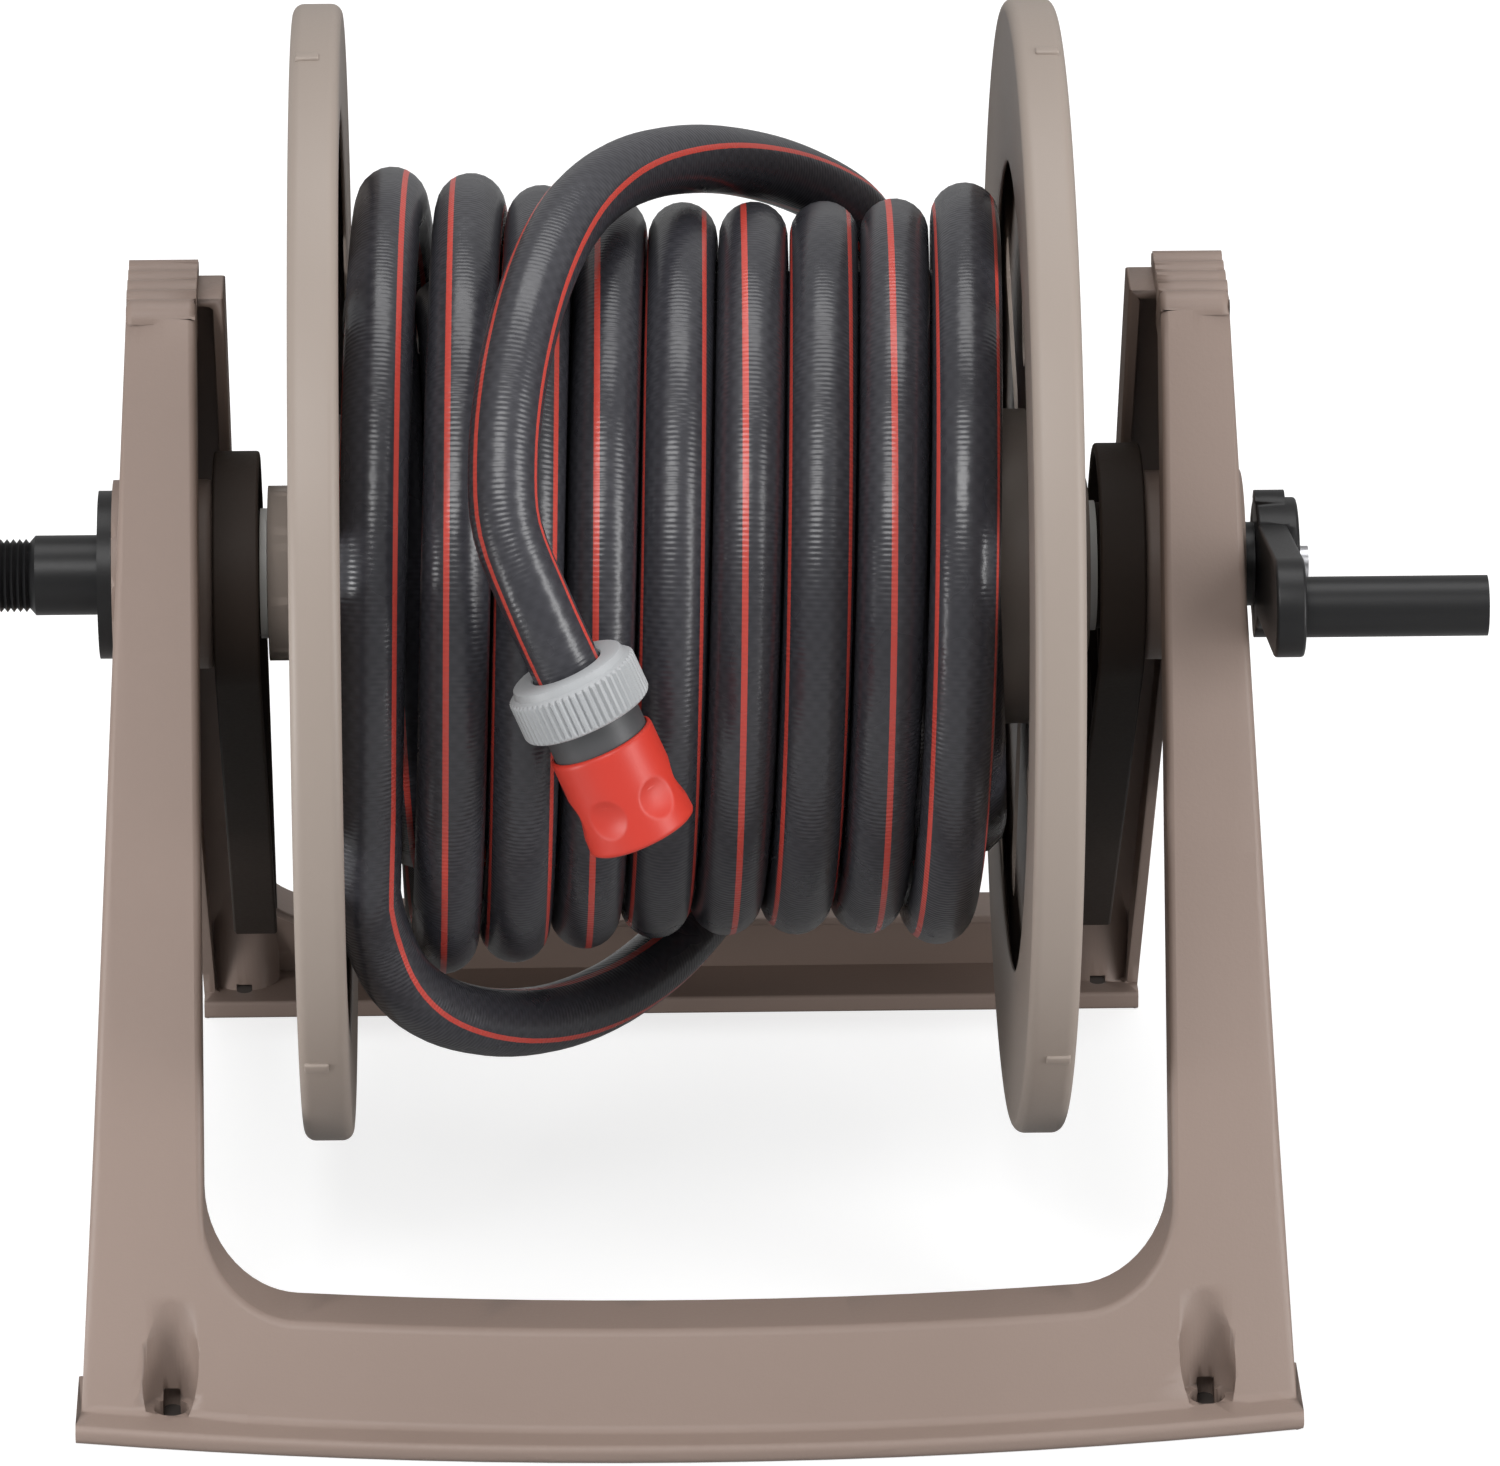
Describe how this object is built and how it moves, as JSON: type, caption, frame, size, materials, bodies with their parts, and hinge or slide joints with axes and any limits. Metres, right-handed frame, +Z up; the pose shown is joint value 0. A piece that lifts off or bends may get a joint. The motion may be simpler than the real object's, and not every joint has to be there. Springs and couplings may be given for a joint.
{
  "type": "hose reel",
  "caption": "Garden hose reel: spoked drum wound with hose, turned by a side crank on an A-shaped stand with a threaded inlet, a hose-end connector and keyhole feet.",
  "frame": {"origin": "middle of the lower side of the box round the stand, drum and crank, on the floor under the feet", "axes": "+X along the axle towards the crank, -Y towards the front, +Z up"},
  "size_m": [0.4206, 0.337, 0.3592],
  "materials": {
    "stand": "fine moulded grain, satin",
    "flange": "satin moulded",
    "black": "satin moulded",
    "bush": "plain acetal",
    "steel": "zinc plated",
    "hose": "semi-gloss with a faint braid and thin red stripes",
    "seal": "matt",
    "nut": "satin moulded",
    "connector": "satin moulded",
    "sleeve": "soft satin"
  },
  "bodies": {
    "stand": {"front_frame": "stand", "rear_frame": "stand", "left_bearing_arm": "stand", "right_bearing_arm": "stand", "left_bush": "bush", "right_bush": "bush", "arm_screws": "steel", "frame_screws": "steel", "inlet_nipple": "black", "inlet_o_rings": "seal", "inlet_screws": "steel"},
    "drum": {"left_flange": "flange", "right_flange": "flange", "barrel": "flange", "flange_screws": "steel", "water_spindle": "black", "crank_shaft": "black", "hose_lead_in": "hose", "hose_clip": "steel", "hose_core": "hose", "hose_winding": "hose", "hose_tail": "hose", "crank": "black", "crank_screw": "steel", "grip_screw": "steel", "connector_nut": "nut", "connector_body": "connector", "grip_claws": "bush", "connector_o_ring": "seal", "sleeve_spring": "steel"},
    "grip": {"crank_grip": "black", "grip_cap": "black"},
    "sleeve": {"release_sleeve": "sleeve"}
  },
  "joints": [
    {"name": "reel_spin", "type": "hinge", "parent": "stand", "child": "drum", "pos_m": [-0.0143, 0.0065, 0.197], "axis": [1, 0, 0], "continuous": true},
    {"name": "grip_spin", "type": "hinge", "parent": "drum", "child": "grip", "pos_m": [0.1857, -0.06658, 0.21387], "axis": [1, 0, 0], "continuous": true},
    {"name": "sleeve_release", "type": "slide", "parent": "drum", "child": "sleeve", "axis": [-0.4004, 0.1001, 0.9109], "range_m": [0, 0.004], "stiffness_N_per_m": 1000, "springref_m": -0.003, "deforming": ["sleeve_spring"]}
  ]
}
